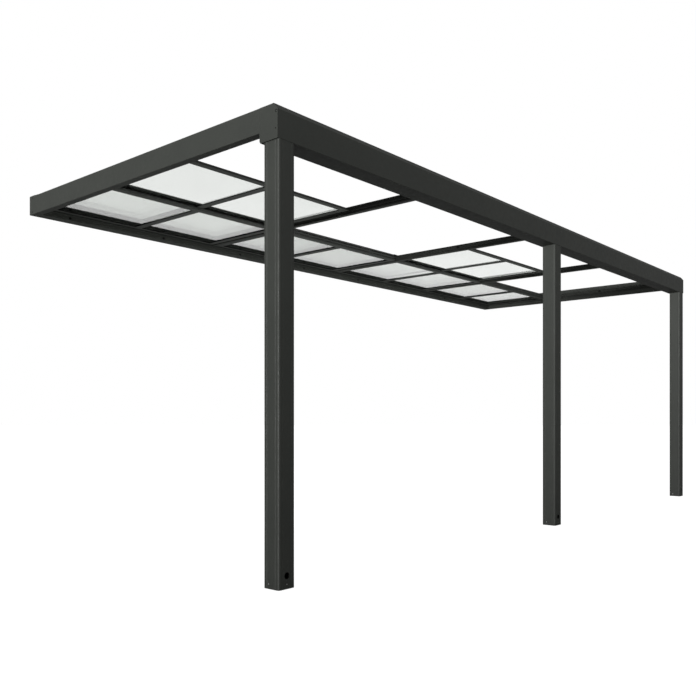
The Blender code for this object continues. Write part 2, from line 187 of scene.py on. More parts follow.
world = bpy.data.worlds.new("white_studio")
scene.world = world
world.use_nodes = True
sky = world.node_tree.nodes["Background"]
sky.inputs["Color"].default_value = (1, 1, 1, 1)
sky_light, sky_white = 0.29, 1.0
strength = white_to_the_eye(world.node_tree, sky_light, sky_white)
world.node_tree.links.new(strength, sky.inputs["Strength"])
print("sky:", sky_light, "as a light,", sky_white, "to the eye")

# %% [markdown]
# ## The floor
#
# The floor is a wide pale disc at the feet of the posts. Part of its white is
# its own, for the eye only, so the shadow stays soft and faint, as on a studio
# floor. Seen from below it is clear, so that the underside can be looked at.

# %% Make the floor
lowest = cad_box[0][2]


def floor_disc(radius, height, sides=64):
    """A flat disc: rings by angles, x = r cos a, y = r sin a, one height."""
    r = np.array([0.001, 0.25, 1.0])[:, None] * radius
    a = np.linspace(0, 2 * math.pi, sides, endpoint=False)[None, :]
    points = np.stack([r * np.cos(a), r * np.sin(a), np.full((3, sides), height)], axis=-1)
    here = np.arange(2)[:, None] * sides + np.arange(sides)[None, :]
    there = np.arange(2)[:, None] * sides + (np.arange(sides)[None, :] + 1) % sides
    quads = np.stack([here, here + sides, there + sides, there], axis=-1).reshape(-1, 4)
    centre = [list(range(sides))]
    return points.reshape(-1, 3), quads.tolist() + centre


floor_radius, floor_drop = 90.0, 0.0005
points, quads = floor_disc(floor_radius, lowest - floor_drop)
floor_mesh = bpy.data.meshes.new("pale_floor")
floor_mesh.from_pydata(points.tolist(), [], quads)
floor = bpy.data.objects.new("pale_floor", floor_mesh)
scene.collection.objects.link(floor)

floor_look = bpy.data.materials.new("pale_floor")
floor_look.use_nodes = True
tree = floor_look.node_tree
tree.nodes.clear()
paint = tree.nodes.new("ShaderNodeBsdfDiffuse")
paint.inputs["Color"].default_value = (0.27, 0.27, 0.27, 1)
glow = tree.nodes.new("ShaderNodeEmission")
tree.links.new(white_to_the_eye(tree, 0.0, 0.97), glow.inputs["Strength"])
both = tree.nodes.new("ShaderNodeAddShader")
tree.links.new(paint.outputs[0], both.inputs[0])
tree.links.new(glow.outputs[0], both.inputs[1])
clear = tree.nodes.new("ShaderNodeBsdfTransparent")
side = tree.nodes.new("ShaderNodeNewGeometry")
pick = tree.nodes.new("ShaderNodeMixShader")
tree.links.new(side.outputs["Backfacing"], pick.inputs["Fac"])
tree.links.new(both.outputs[0], pick.inputs[1])
tree.links.new(clear.outputs[0], pick.inputs[2])
end = tree.nodes.new("ShaderNodeOutputMaterial")
tree.links.new(pick.outputs[0], end.inputs["Surface"])
floor_mesh.materials.append(floor_look)
print("floor at", round(lowest, 4))

# %% [markdown]
# ## Patterns for the finishes
#
# Every finish is made of the same few parts: a noise in the object's own space,
# a step that maps it onto a range, a mix of two tones, and a bump. A photograph
# of a sample could do the same, but it would need seams and a place for each
# section, and this noise works on every section as it is.

# %% Noise, range, tones and relief
def noise(tree, scale, detail=2.0, stretch=(1, 1, 1)):
    """Noise in the object's own metres; scale is in waves per metre."""
    place = tree.nodes.new("ShaderNodeTexCoord")
    turn = tree.nodes.new("ShaderNodeMapping")
    turn.inputs["Scale"].default_value = stretch
    tree.links.new(place.outputs["Object"], turn.inputs["Vector"])
    pattern = tree.nodes.new("ShaderNodeTexNoise")
    pattern.inputs["Scale"].default_value = scale
    pattern.inputs["Detail"].default_value = detail
    tree.links.new(turn.outputs[0], pattern.inputs["Vector"])
    return pattern.outputs["Fac"]


def between(tree, value, low, high, start=0.3, stop=0.7):
    """Maps a noise value: low + (high - low) (value - start) / (stop - start)."""
    ramp = tree.nodes.new("ShaderNodeMapRange")
    for socket, number in zip(("From Min", "From Max", "To Min", "To Max"), (start, stop, low, high)):
        ramp.inputs[socket].default_value = number
    tree.links.new(value, ramp.inputs["Value"])
    return ramp.outputs["Result"]


def two_tones(tree, value, first, second):
    """A colour between two tones: first + (second - first) value."""
    mix = tree.nodes.new("ShaderNodeMix")
    mix.data_type = "RGBA"
    mix.inputs["A"].default_value = (*first, 1)
    mix.inputs["B"].default_value = (*second, 1)
    tree.links.new(value, mix.inputs["Factor"])
    return mix.outputs["Result"]


def relief(tree, value, depth, strength=1.0):
    """A bump of a given depth in metres."""
    bump = tree.nodes.new("ShaderNodeBump")
    bump.inputs["Distance"].default_value = depth
    bump.inputs["Strength"].default_value = strength
    tree.links.new(value, bump.inputs["Height"])
    return bump.outputs["Normal"]


def new_finish(name):
    """An empty finish: its material, its node tree and its shader."""
    material = bpy.data.materials.new(name)
    material.use_nodes = True
    return material, material.node_tree, material.node_tree.nodes["Principled BSDF"]


print("patterns: noise, between, two_tones, relief")

# %% [markdown]
# ## Powder coat
#
# The aluminium is coated with anthracite powder, which melts to a skin with a
# very fine grain. Three things make it look real: the colour varies a little
# from the powder's own specks, the gloss varies with the thickness of the skin,
# and the grain catches the light. The gloss is kept low, because the posts'
# flutes are narrower than a pixel and would sparkle.

# %% Powder coat
def powder_coat(name, dark, light, roughness=(0.47, 0.58), speck_share=0.35):
    """Fine grained paint: its tone is speck_share * speck + (1 - speck_share) * cloud."""
    material, tree, shader = new_finish(name)
    cloud = noise(tree, 5.0, 3.0)
    speck = noise(tree, 900.0, 1.0)
    shade = tree.nodes.new("ShaderNodeMath")
    shade.operation = "MULTIPLY_ADD"
    shade.inputs[1].default_value = speck_share
    tree.links.new(speck, shade.inputs[0])
    tree.links.new(between(tree, cloud, 0.0, 1 - speck_share), shade.inputs[2])
    tree.links.new(two_tones(tree, shade.outputs[0], dark, light), shader.inputs["Base Color"])
    tree.links.new(between(tree, noise(tree, 26.0), *roughness), shader.inputs["Roughness"])
    tree.links.new(relief(tree, noise(tree, 1400.0), 0.00002), shader.inputs["Normal"])
    shader.inputs["Specular IOR Level"].default_value = 0.30
    return material


frame_tones = (0.034, 0.037, 0.033), (0.040, 0.043, 0.038)
# the panels' tones are the frame's coat made lighter: painted light for their undersides
panel_tones_painted_light = (0.056, 0.060, 0.055), (0.064, 0.068, 0.063)
frame_coat = powder_coat("anthracite_powder_coat", *frame_tones)
panel_coat_painted_light = powder_coat("panel_powder_coat_painted_light", *panel_tones_painted_light)
print("finishes:", frame_coat.name, panel_coat_painted_light.name)

# %% [markdown]
# ## Glass
#
# The roof is clear safety glass, two sheets with a film between them. Seen at a
# low angle it is half a mirror, and its body takes a little of the light and
# leaves a grey green. Fine dust from the rain makes it slightly uneven.

# %% Glass
def clear_glass(name, tint, dusty):
    """Glass with a tint; dust makes patches darker, and rolling leaves faint waves."""
    material, tree, shader = new_finish(name)
    patches = between(tree, noise(tree, 3.0, 4.0), 0.0, 1.0)
    tree.links.new(two_tones(tree, patches, tint, dusty), shader.inputs["Base Color"])
    tree.links.new(relief(tree, noise(tree, 6.0, 1.0), 0.00004), shader.inputs["Normal"])
    shader.inputs["Roughness"].default_value = 0.0
    shader.inputs["Transmission Weight"].default_value = 1.0
    shader.inputs["IOR"].default_value = 1.45
    return material


clean_tone, dusty_tone = (0.702, 0.726, 0.702), (0.667, 0.691, 0.667)
roof_glass = clear_glass("roof_glass", clean_tone, dusty_tone)
print("finish:", roof_glass.name)

# %% [markdown]
# ## Rubber, steel, bristle and bare aluminium
#
# The small pieces need five more finishes. Rubber is nearly black and dull.
# Screws are stainless steel with fine turning marks, or blackened steel where
# they shouldn't show. Bristles are dark fibres, so their grain is stretched
# along their length. The shoes in the posts are aluminium as it comes from the
# saw, with a cloudy oxide skin.

# %% Small finishes
def black_rubber():
    """Dull rubber with a fine skin."""
    material, tree, shader = new_finish("black_rubber")
    tone = two_tones(tree, noise(tree, 300.0), (0.005, 0.005, 0.005), (0.011, 0.011, 0.010))
    tree.links.new(tone, shader.inputs["Base Color"])
    tree.links.new(between(tree, noise(tree, 120.0), 0.60, 0.78), shader.inputs["Roughness"])
    tree.links.new(relief(tree, noise(tree, 1800.0), 0.00005), shader.inputs["Normal"])
    shader.inputs["Specular IOR Level"].default_value = 0.12
    return material


def bare_metal(name, dark, light, roughness, grain=900.0, stretch=(1, 1, 1)):
    """Bare metal with a cloudy tone, a directed grain and a dull film of oxide."""
    material, tree, shader = new_finish(name)
    cloud = noise(tree, 35.0, 4.0)
    tree.links.new(two_tones(tree, cloud, dark, light), shader.inputs["Base Color"])
    lines = noise(tree, grain, 2.0, stretch)
    tree.links.new(between(tree, lines, *roughness), shader.inputs["Roughness"])
    tree.links.new(relief(tree, lines, 0.00003), shader.inputs["Normal"])
    shader.inputs["Metallic"].default_value = 0.7
    return material


def dark_bristle():
    """Upright fibres: noise stretched along Z."""
    material, tree, shader = new_finish("dark_bristle")
    fibre = noise(tree, 1500.0, 2.0, (1, 1, 0.06))
    tone = two_tones(tree, fibre, (0.008, 0.008, 0.008), (0.045, 0.046, 0.044))
    tree.links.new(tone, shader.inputs["Base Color"])
    tree.links.new(between(tree, fibre, 0.75, 0.95), shader.inputs["Roughness"])
    tree.links.new(relief(tree, fibre, 0.0003), shader.inputs["Normal"])
    shader.inputs["Specular IOR Level"].default_value = 0.1
    return material


rubber = black_rubber()
black_steel = bare_metal("blackened_steel", (0.02,) * 3, (0.045,) * 3, (0.35, 0.50))
steel = bare_metal("stainless_steel", (0.50, 0.50, 0.49), (0.66, 0.66, 0.65), (0.22, 0.38))
darker, lighter = (0.42, 0.43, 0.43), (0.60, 0.61, 0.61)
mill = bare_metal("sawn_aluminium", darker, lighter, (0.35, 0.55), 500.0, (1, 1, 0.1))
bristle = dark_bristle()
print("finishes:", [m.name for m in (rubber, black_steel, steel, mill, bristle)])

# %% [markdown]
# ## Finishes of the imported sections
#
# A section's name tells what it is made of. The panels' frames get a lighter
# copy of the beams' coat, painted light that brightens their undersides and
# rails, which the lamps leave darker.

# %% Give the imported sections their finishes
for name, item in nodes.items():
    if name.startswith("glass"):
        look = roof_glass
    elif name.startswith("post_shoe"):
        look = mill
    elif name.startswith("panel"):
        # the panels' frames get the lighter copy of the coat, a painted light
        look = panel_coat_painted_light
    else:
        look = frame_coat
    item.data.materials.clear()
    item.data.materials.append(look)
print("finished sections:", len(nodes))

# %% [markdown]
# ## Turned shapes
#
# Two shapes cover nearly every small piece. The first is a profile of radius and
# height that goes round an axis, as on a lathe: screws, plugs and collars. The
# points form a grid with a row for each step of the profile, so the faces are
# found by counting. Blender's own spin tool would do the same for one shape at a
# time.

# %% Turned shapes
def grid_faces(rows, columns, wrap_rows=False, wrap_columns=False):
    """Quads between neighbours of a grid, with either direction closed on itself."""
    r = np.arange(rows if wrap_rows else rows - 1)
    c = np.arange(columns if wrap_columns else columns - 1)
    r, c = np.meshgrid(r, c, indexing="ij")
    down, right = (r + 1) % rows, (c + 1) % columns
    corners = (r * columns + c, r * columns + right, down * columns + right, down * columns + c)
    return np.stack(corners, axis=-1).reshape(-1, 4)


def turned(profile, sides=24, star=None):
    """Radius and height rows go round Z: x = r cos a, y = r sin a, z = h.

    The first and last rows lie on the axis or close a ring. Star gives each row
    a wave of six lobes, as r (1 + s cos 6a), for a socket in a screw's head.
    """
    rows = np.asarray(profile, float)
    a = np.linspace(0, 2 * math.pi, sides, endpoint=False)
    wave = np.zeros(len(rows)) if star is None else np.asarray(star, float)
    r = rows[:, :1] * (1 + wave[:, None] * np.cos(6 * a)[None, :])
    points = np.stack([r * np.cos(a), r * np.sin(a), np.repeat(rows[:, 1:], sides, 1)], axis=-1)
    return points.reshape(-1, 3), grid_faces(len(rows), sides, wrap_columns=True)


print("shape: turned")

# %% [markdown]
# ## Carried shapes
#
# The second shape is a profile that goes along a path, as when rubber is pulled
# through a die: seals, beads and strips. Where the path turns a corner the
# profile is stretched, so that the two arms meet in a mitre.

# %% Carried shapes
def carried(profile, path, closed=True, up=(0, 0, 1)):
    """A closed profile of (side, up) pairs goes along a flat path.

    Each point is path + side * m + up * u, where m is the mitre: the sum of the
    two neighbouring side directions, scaled by 1 / (1 + their cosine).
    """
    path = np.asarray(path, float)
    up = np.asarray(up, float)
    step = np.roll(path, -1, axis=0) - path
    step /= np.linalg.norm(step, axis=1, keepdims=True)
    if not closed:
        step[-1] = step[-2]
    before = np.roll(step, 1, axis=0)
    if not closed:
        before[0] = step[0]
    after_side, before_side = np.cross(step, up), np.cross(before, up)
    cosine = np.sum(after_side * before_side, axis=1, keepdims=True)
    mitre = (after_side + before_side) / (1 + cosine)
    profile = np.asarray(profile, float)
    points = path[:, None] + profile[None, :, :1] * mitre[:, None] + profile[None, :, 1:] * up
    count = len(profile)
    faces = grid_faces(len(path), count, wrap_rows=closed, wrap_columns=True).tolist()
    if not closed:
        last = (len(path) - 1) * count
        faces += [list(range(count))[::-1], list(range(last, last + count))]
    return points.reshape(-1, 3), faces


print("shape: carried")

# %% [markdown]
# ## Copies
#
# A screw is modelled once, standing upright. It is then turned to its face and
# copied to all its places by adding a list of places to the points, all at once.
# Screws of one kind are joined into one piece.

# %% Copied, turned and joined
def copied(shape, places):
    """A shape at many places: every point plus every place."""
    points, faces = shape
    places = np.asarray(places, float).reshape(-1, 1, 3)
    moved = (points[None] + places).reshape(-1, 3)
    starts = (np.arange(len(places)) * len(points)).tolist()
    return moved, [[corner + start for corner in face] for start in starts for face in faces]


def facing(shape, axis, hand=1):
    """Turns a shape made along Z so that its top looks along an axis, or against it."""
    points, faces = shape
    x, y, z = np.asarray(points).T
    views = {
        "X": np.stack([z * hand, x * hand, y], axis=-1),
        "Y": np.stack([y * hand, z * hand, x], axis=-1),
        "Z": np.stack([x, y * hand, z * hand], axis=-1),
    }
    return views[axis], faces


def joined(*shapes):
    """Several shapes as one list of points and faces."""
    points, faces, start = [], [], 0
    for these, those in shapes:
        points.append(np.asarray(these))
        faces += [[int(corner) + start for corner in face] for face in those]
        start += len(these)
    return np.concatenate(points), faces


print("helpers: copied, facing, joined")

# %% [markdown]
# ## From a shape to a piece
#
# A shape is only points and faces. A piece is a mesh with a finish, and it rides
# on the body that carries it: a wheel's tyre moves with its panel. Doubled
# points are welded, the faces are made to look outwards, and only edges sharper
# than 35 degrees stay sharp.

# %% Put a piece into the scene
smooth_below = math.radians(35)


def piece(name, shape, look, body="frame", smooth=True):
    """Puts a shape into a mesh, welds its seams and lets it ride on a body."""
    points, faces = shape
    mesh = bpy.data.meshes.new(name)
    mesh.from_pydata(np.asarray(points).tolist(), [], [list(map(int, face)) for face in faces])
    form = bmesh.new()
    form.from_mesh(mesh)
    bmesh.ops.remove_doubles(form, verts=form.verts, dist=1e-6)
    bmesh.ops.dissolve_degenerate(form, edges=form.edges, dist=1e-7)
    bmesh.ops.recalc_face_normals(form, faces=form.faces)
    form.to_mesh(mesh)
    form.free()
    if smooth:
        mesh.shade_smooth()
        mesh.set_sharp_from_angle(angle=smooth_below)
    mesh.materials.append(look)
    item = bpy.data.objects.new(name, mesh)
    scene.collection.objects.link(item)
    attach(item, body)
    return item


print("edges stay sharp above", round(math.degrees(smooth_below)), "degrees")

# %% [markdown]
# ## Places that the small pieces need
#
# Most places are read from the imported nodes, so a piece can't drift off what
# carries it. A panel is as large as its glass plus the rim round it. The few
# sizes that a box can't tell, such as the seats of the screws, are repeated
# here from the part's source.

# %% Measure the sections
rim = 0.008  # glass edge to panel edge
rail = 0.045  # width of a panel's rails and stiles
bar = 0.052  # width of its middle bar
frame_depth = 0.014
rebate = 0.008  # how deep the glass lies in its frame
joint_gap = 0.0003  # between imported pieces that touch
seat_reach = 0.012  # a rafter's top flange beyond the tips of its tracks
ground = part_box("post_left")[0].z
roof_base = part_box("rafter_1")[0].z  # underside of the inner rafters
fascia_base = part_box("rafter_left_end")[0].z  # underside of the end rafters
wall_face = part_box("wall_beam_cap_left")[0].y
front_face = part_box("gutter_beam")[0].y
beam_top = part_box("gutter_beam")[1].z
posts = ("left", "middle", "right")
rafters = ["rafter_left_end", "rafter_1", "rafter_2", "rafter_3", "rafter_right_end"]
bays = (1, 2, 3, 4)
kinds = ("fixed", "middle", "front")


Panel = namedtuple("Panel", "left right front back under top body")


def panel_place(kind, bay):
    """The six sides of a panel and the body that it rides on."""
    low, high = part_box(f"glass_{kind}_{bay}")
    under = low.z - (frame_depth - rebate) - joint_gap
    body = "frame" if kind == "fixed" else f"{kind}_panel_{bay}"
    edges = (low.x - rim, high.x + rim, low.y - rim, high.y + rim)
    return Panel(*edges, under, under + frame_depth, body)


def rectangle_path(x0, x1, y0, y1, z):
    """Four corners, counter-clockwise from above, so the side looks outwards."""
    return [(x0, y0, z), (x1, y0, z), (x1, y1, z), (x0, y1, z)]


print("middle panel 1:", [round(v, 4) for v in panel_place("middle", 1)[:6]])

# %% [markdown]
# ## Screws
#
# A screw's head is a turned shape. Its socket is a six lobed hole, made by
# letting the radius of two rows wave as the profile goes round. The heads on the
# end caps and at the feet lie sunk in seats of the sections, flush with the
# faces, so a hand or a hose doesn't catch on them.

# %% Screw heads
def domed_head(radius, height, socket):
    """A low dome: flat floor of the socket, its lobed wall, the dome, the rim."""
    rows = [
        (0, height * 0.35),
        (socket * 0.9, height * 0.35),
        (socket, height * 0.92),
        (socket * 1.25, height),
        (radius * 0.72, height * 0.93),
        (radius * 0.92, height * 0.66),
        (radius, height * 0.30),
        (radius, 0),
        (0, 0),
    ]
    return turned(rows, 36, [0, 0.16, 0.16, 0.03, 0, 0, 0, 0, 0])


def sunk_head(radius, socket):
    """A countersunk head: its flat top is at 0 and its cone goes down."""
    rows = [
        (0, -0.0014),
        (socket * 0.9, -0.0014),
        (socket, -0.0001),
        (socket * 1.2, 0),
        (radius * 0.97, 0),
        (radius, -0.0003),
        (radius * 0.6, -0.0024),
        (0, -0.0024),
    ]
    return turned(rows, 36, [0, 0.16, 0.16, 0.02, 0, 0, 0, 0])


print("heads: domed, sunk")

# %% [markdown]
# ## Screws of the end caps
#
# Each gutter cap has one large screw with a black washer under the bevel and a
# small one below. The washer's black ring round the head is painted shade, for
# the dark gap of its seat, and the head has the panels' lighter coat, a painted
# light. Each cap of the wall beam has two small ones. They lie in shallow round
# seats.

# %% Cap screws
left_end, right_end = cad_box[0][0], cad_box[1][0]
cap_recess = 0.002  # depth of the seats
screw_back, screw_drop = 0.010, 0.042  # behind the front face, below the beam's top
pin_back, pin_drop = 0.014, 0.125
pin_inset = 0.016  # from the lower and the upper edge of the wall beam's cap
flashing_rise = 0.0033  # flashing above the gutter's top
shade_washer_ring = [
    (0.0030, 0.0000),
    (0.0074, 0.0000),
    (0.0074, 0.0003),
    (0.0070, 0.0005),
    (0.0030, 0.0005),
    (0.0030, 0.0000),
]
cap_heads, cap_pins, shade_washers = [], [], []
for face, hand in ((left_end, -1), (right_end, 1)):
    seat = face - hand * cap_recess
    big = facing(domed_head(0.0038, 0.0018, 0.0017), "X", hand)
    shade_washer = facing(turned(shade_washer_ring, 36), "X", hand)
    small = facing(domed_head(0.0037, 0.0012, 0.0013), "X", hand)
    place = [(seat, front_face + screw_back, beam_top - screw_drop)]
    cap_heads.append(copied(big, place))
    shade_washers.append(copied(shade_washer, place))
    pins = [
        (seat, front_face + pin_back, beam_top - pin_drop),
        (seat, wall_face / 2, fascia_base + pin_inset),
        (seat, wall_face / 2, beam_top + flashing_rise - pin_inset),
    ]
    cap_pins.append(copied(small, pins))
# painted light and shade: the heads get the lighter panel coat, the black washers stand for the shade
# in the gap round them
piece("cap_screws", joined(*cap_heads), panel_coat_painted_light)
piece("cap_pins", joined(*cap_pins), rubber)
piece("cap_shade_washers", joined(*shade_washers), rubber)
print("cap screws:", 2, "large and", 6, "small")

# %% [markdown]
# ## Screws at the feet and under the shelf
#
# Four countersunk screws hold each post on its shoe, one in every face. Two
# dark ones hold each inner rafter from below, on the wall beam's shelf.

# %% Foot and shelf screws
foot_screw_height = 0.024
foot_screw_back = 0.074  # front of a post to the screws in its sides
sunk = 0.0005  # head below the post's face
head = sunk_head(0.0034, 0.0013)
foot_heads = []
for post in posts:
    low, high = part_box(f"post_{post}")
    middle = (low.x + high.x) / 2
    level = ground + foot_screw_height
    side_y = low.y + foot_screw_back
    foot_heads += [
        copied(facing(head, "Y", -1), [(middle, low.y + sunk, level)]),
        copied(facing(head, "Y", 1), [(middle, high.y - sunk, level)]),
        copied(facing(head, "X", -1), [(low.x + sunk, side_y, level)]),
        copied(facing(head, "X", 1), [(high.x - sunk, side_y, level)]),
    ]
piece("foot_screws", joined(*foot_heads), steel)

shelf_thickness = 0.0035
shelf_screw_side = 0.009  # to the left and right of a rafter's middle
shelf_screw_front = 0.014  # in front of the wall beam's cap
shelf = roof_base - joint_gap - shelf_thickness
under_heads = []
for name in rafters[1:-1]:
    low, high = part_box(name)
    middle = (low.x + high.x) / 2
    for side in (-shelf_screw_side, shelf_screw_side):
        under_heads.append((middle + side, wall_face - shelf_screw_front, shelf))
head = facing(domed_head(0.0046, 0.0026, 0.0018), "Z", -1)
piece("shelf_screws", copied(head, under_heads), black_steel)
print("screws:", len(foot_heads), "at the feet,", len(under_heads), "under the shelf")

# %% [markdown]
# ## Rain outlets at the feet
#
# The gutter empties through the posts. The water leaves by a round hole near
# the foot, and a rubber collar lines the hole, so the cut edge of the tube can't
# rust or scratch. It is a turned ring that lies just inside the front face. Its
# black is partly painted shade: it keeps the hole's rim as dark as the shade
# inside the post.

# %% Outlet collars
ring = [
    (0.0169, -0.0003),
    (0.0165, -0.0001),
    (0.0160, -0.0005),
    (0.0158, -0.0014),
    (0.0158, -0.0030),
    (0.0162, -0.0035),
    (0.0169, -0.0032),
    (0.0169, -0.0003),
]
shade_collar = facing(turned(ring, 48), "Y", -1)
outlet_height = 0.066
outlets = []
for post in posts:
    low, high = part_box(f"post_{post}")
    outlets.append(((low.x + high.x) / 2, low.y, ground + outlet_height))
# the collars' black is partly painted shade for the inside of the hole
piece("outlet_shade_collars", copied(shade_collar, outlets), rubber)
print("collars at", [round(outlet[0], 3) for outlet in outlets])

# %% [markdown]
# ## End plates of the end rafters
#
# An end rafter is a hollow section that stops over the gutter's back wall. A
# plate of the same finish closes the section there, so leaves and wasps stay
# out. It is an outline with cut corners, pushed out by its thickness, and two
# small screws hold it.

# %% End plates
def slab(outline, y0, y1):
    """A flat outline of X and Z, pushed out along Y from y0 to y1."""
    around = len(outline)
    points = np.array([(x, y, z) for y in (y0, y1) for x, z in outline])
    faces = grid_faces(2, around, wrap_columns=True).tolist()
    return points, faces + [list(range(around))[::-1], list(range(around, 2 * around))]


plate = 0.0018  # thickness
plate_screw_inset = 0.016  # from its lower and upper edge
cut = 0.0025  # at the corners
web_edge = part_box("rafter_right_end")[0].x + seat_reach
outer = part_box("gutter_beam")[1].x - 0.0006
low, high = roof_base + 0.0010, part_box("rafter_right_end")[1].z - 0.0006
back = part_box("rafter_right_end")[0].y - 0.0002
outline = [
    (web_edge + cut, low),
    (outer - cut, low),
    (outer, low + cut),
    (outer, high - cut),
    (outer - cut, high),
    (web_edge + cut, high),
    (web_edge, high - cut),
    (web_edge, low + cut),
]
mirrored = [(-x, z) for x, z in outline[::-1]]
plates = [slab(outline, back - plate, back), slab(mirrored, back - plate, back)]
piece("rafter_end_plates", joined(*plates), frame_coat)
head = facing(domed_head(0.0036, 0.0020, 0.0014), "Y", -1)
middle = (web_edge + outer) / 2
levels = (low + plate_screw_inset, high - plate_screw_inset)
plate_heads = [(side * middle, back - plate, z) for side in (-1, 1) for z in levels]
piece("end_plate_screws", copied(head, plate_heads), black_steel)
print("end plates from", round(low, 4), "to", round(high, 4))

# %% [markdown]
# ## Seals round the glass
#
# Each sheet lies in a rebate of its frame. From below, a rubber bead shows in
# the corner between frame and glass, once round each pane. From above, a wedge
# of the same rubber fills the gap round the sheet and sheds the rain. Both are
# carried shapes on a rectangle, with mitred corners.

# %% Glass seals
lower_bead = [
    (-0.0002, -0.0002),
    (-0.0040, -0.0002),
    (-0.0036, -0.0016),
    (-0.0016, -0.0034),
    (-0.0002, -0.0040),
]
upper_wedge = [
    (-0.0060, 0.0001),
    (0.0008, 0.0001),
    (0.0008, 0.0013),
    (-0.0020, 0.0014),
    (-0.0052, 0.0007),
]
for kind in kinds:
    for bay in bays:
        panel = panel_place(kind, bay)
        low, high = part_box(f"glass_{kind}_{bay}")
        middle = (panel.left + panel.right) / 2
        panes = ((panel.left + rail, middle - bar / 2), (middle + bar / 2, panel.right - rail))
        beads = []
        for x0, x1 in panes:
            path = rectangle_path(x0, x1, panel.front + rail, panel.back - rail, low.z)
            beads.append(carried(lower_bead, path))
        piece(f"pane_bead_{kind}_{bay}", joined(*beads), rubber, panel.body)
        path = rectangle_path(low.x, high.x, low.y, high.y, high.z)
        piece(f"glass_wedge_{kind}_{bay}", carried(upper_wedge, path), rubber, panel.body)
sheets = len(kinds) * len(bays)
print("seals:", 2 * sheets, "beads and", sheets, "wedges")

# %% [markdown]
# ## Mitres of the panel frames
#
# A panel's frame is cut from a bar and joined at the corners at 45 degrees. What
# shows of the joint is a hairline from the outer corner to the pane's corner.
# It is a strip 0.6 mm wide, because a line in a texture would need a very fine
# picture to stay sharp.

# %% Mitre lines
hair = [(-0.0003, 0.0), (0.0003, 0.0), (0.0003, -0.00012), (-0.0003, -0.00012)]
hair_up = [(-0.0003, 0.00012), (0.0003, 0.00012), (0.0003, 0.0), (-0.0003, 0.0)]
for kind in kinds:
    for bay in bays:
        panel = panel_place(kind, bay)
        lines = []
        for x, sx in ((panel.left, 1), (panel.right, -1)):
            for y, sy in ((panel.front, 1), (panel.back, -1)):
                outer = (x + sx * 0.001, y + sy * 0.001, panel.under)
                inner = (x + sx * rail, y + sy * rail, panel.under)
                lines.append(carried(hair, [outer, inner], closed=False))
                outer = (x + sx * 0.0005, y + sy * 0.0005, panel.top)
                inner = (x + sx * rim * 0.9, y + sy * rim * 0.9, panel.top)
                lines.append(carried(hair_up, [outer, inner], closed=False))
        middle = (panel.left + panel.right) / 2
        for y in (panel.front + rail, panel.back - rail):
            ends = [(middle - bar / 2, y, panel.under), (middle + bar / 2, y, panel.under)]
            lines.append(carried(hair, ends, closed=False))
        piece(f"mitre_lines_{kind}_{bay}", joined(*lines), rubber, panel.body, smooth=False)
print("hairlines:", len(lines) * sheets)

# %% [markdown]
# ## Brush seals between the panels
#
# Where one panel ends and the next begins below it, a strip of bristles closes
# the slit and lets the lower panel slide. The bristles stand on a flat carrier
# on the back rail, so they stay under the panel above. Thousands of hairs would
# cost more than they show, so the pile is one wall whose thickness ripples, and
# its finish draws the fibres.

# %% Brush seals
def pile(x0, x1, y, foot, tip, half=0.0015, ripple=0.0004, pitch=0.004):
    """A wall along X: y = middle +- (half + ripple cos(2 pi x / pitch)).

    Four rows go round the section: front foot, front tip, back tip, back foot.
    The free edge is ragged by a second, slower wave of a third of a millimetre.
    """
    x = np.linspace(x0, x1, int((x1 - x0) / pitch * 2) + 1)
    thick = half + ripple * np.cos(2 * math.pi * x / pitch)
    ragged = tip + 0.0003 * np.cos(2 * math.pi * x / (pitch * 3.3))
    front, back = y - thick, y + thick
    level = np.full_like(x, foot)
    rows = [(x, front, level), (x, front, ragged), (x, back, ragged), (x, back, level)]
    points = np.stack([np.stack(row, axis=-1) for row in rows], axis=1)
    faces = grid_faces(len(x), 4, wrap_columns=True).tolist()
    last = (len(x) - 1) * 4
    faces += [[3, 2, 1, 0], [last, last + 1, last + 2, last + 3]]
    return points.reshape(-1, 3), faces


carrier = [
    (-0.0035, 0.0000),
    (0.0035, 0.0000),
    (0.0035, 0.0010),
    (0.0022, 0.0013),
    (-0.0022, 0.0013),
    (-0.0035, 0.0010),
]
end_inset, back_inset = 0.014, 0.0037
for kind, rise in (("middle", 0.0070), ("front", 0.0041)):
    for bay in bays:
        panel = panel_place(kind, bay)
        x0, x1, y = panel.left + end_inset, panel.right - end_inset, panel.back - back_inset
        brush = pile(x0, x1, y, panel.top + 0.0011, panel.top + rise)
        piece(f"brush_{kind}_{bay}", brush, bristle, panel.body)
        path = [(x0, y, panel.top + 0.0001), (x1, y, panel.top + 0.0001)]
        strip = carried(carrier, path, closed=False)
        piece(f"brush_carrier_{kind}_{bay}", strip, mill, panel.body)
print("brushes:", 2 * len(bays))

# %% [markdown]
# ## Wheels
#
# Each sliding panel runs on four small wheels that stand out of its sides into
# the tracks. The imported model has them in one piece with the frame. A black
# sleeve with a crowned tread gives them the nylon tyre of the real ones.

# %% Wheel tyres
tread = [
    (0.00000, 0.0012),
    (0.00460, 0.0012),
    (0.00505, 0.0020),
    (0.00515, 0.0050),
    (0.00505, 0.0084),
    (0.00460, 0.0098),
    (0.00000, 0.0102),
]
wheel_from_end = 0.090  # wheel axle to the panel's front or back edge
wheel_lift = 0.003  # wheel axle above the panel's underside
wheel_levels = {}
for kind in ("middle", "front"):
    for bay in bays:
        panel = panel_place(kind, bay)
        level = panel.under + wheel_lift
        ends = (panel.back - wheel_from_end, panel.front + wheel_from_end)
        tyres = []
        for x, hand in ((panel.left, -1), (panel.right, 1)):
            axles = [(x, y, level) for y in ends]
            tyres.append(copied(facing(turned(tread, 28), "X", hand), axles))
        piece(f"wheel_tyres_{kind}_{bay}", joined(*tyres), rubber, panel.body)
        wheel_levels[kind] = level
print("wheel axles at", {k: round(v, 4) for k, v in wheel_levels.items()})

